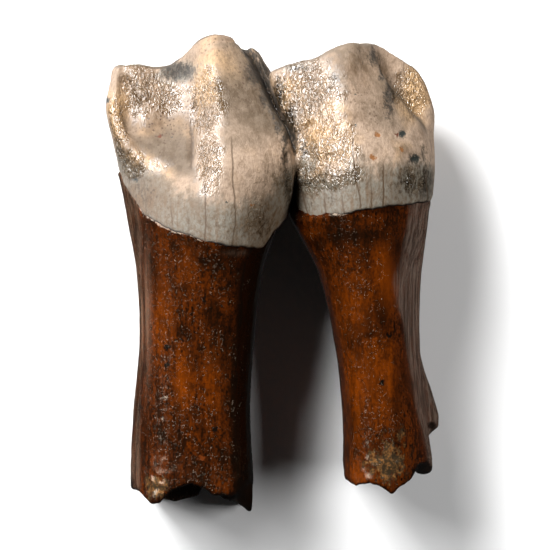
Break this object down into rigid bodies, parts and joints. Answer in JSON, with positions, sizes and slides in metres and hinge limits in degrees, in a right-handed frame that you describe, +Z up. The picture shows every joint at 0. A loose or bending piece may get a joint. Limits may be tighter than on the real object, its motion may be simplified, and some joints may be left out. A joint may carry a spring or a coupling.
{
  "type": "woolly rhinoceros milk tooth",
  "caption": "Fossil lower milk molar of a woolly rhinoceros: an enamel crown of crescent lobes over broken hollow roots, lying on its tongue side.",
  "frame": {"origin": "under the middle of the tooth's box, on the plane it rests on", "axes": "+X towards the back of the jaw, +Y from the roots to the biting edge, +Z up from the tongue side to the cheek side"},
  "size_m": [0.039, 0.0558, 0.0205],
  "materials": {
    "tooth": "satin"
  },
  "bodies": {
    "root": {"tooth": "tooth"}
  },
  "joints": []
}
